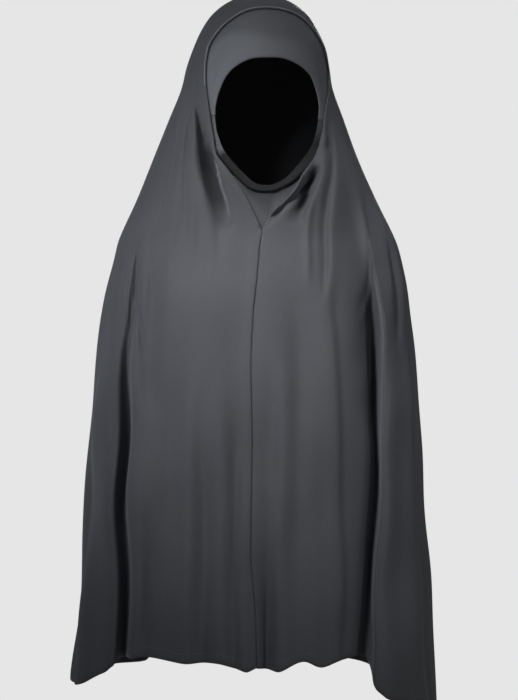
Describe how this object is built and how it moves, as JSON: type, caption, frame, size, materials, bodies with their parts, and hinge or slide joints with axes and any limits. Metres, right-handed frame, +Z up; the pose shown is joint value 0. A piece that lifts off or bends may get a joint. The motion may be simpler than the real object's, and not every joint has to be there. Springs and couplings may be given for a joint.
{
  "type": "khimar veil",
  "caption": "Long one-piece head veil with a hood, a framed face opening, a forehead band, an elastic chin band and a cape that covers the arms.",
  "frame": {"origin": "the inside of the crown, where the veil sits on the head", "axes": "+Z up, the face opening looks along -Y, +X is the wearer's left"},
  "size_m": [0.4704, 0.3625, 0.9251],
  "materials": {
    "veil_cloth": "charcoal grey jersey with a soft sheen",
    "band_cloth": "charcoal grey jersey drawn smooth over the forehead",
    "elastic_cloth": "dark gathered jersey over elastic",
    "panel_cloth": "charcoal grey jersey with a soft sheen",
    "seam_cloth": "charcoal grey jersey, raw seam allowance"
  },
  "bodies": {
    "root": {"veil": "veil_cloth", "forehead_band": "band_cloth", "chin_band": "elastic_cloth", "throat_panel": "panel_cloth", "front_seam": "seam_cloth"}
  },
  "joints": []
}
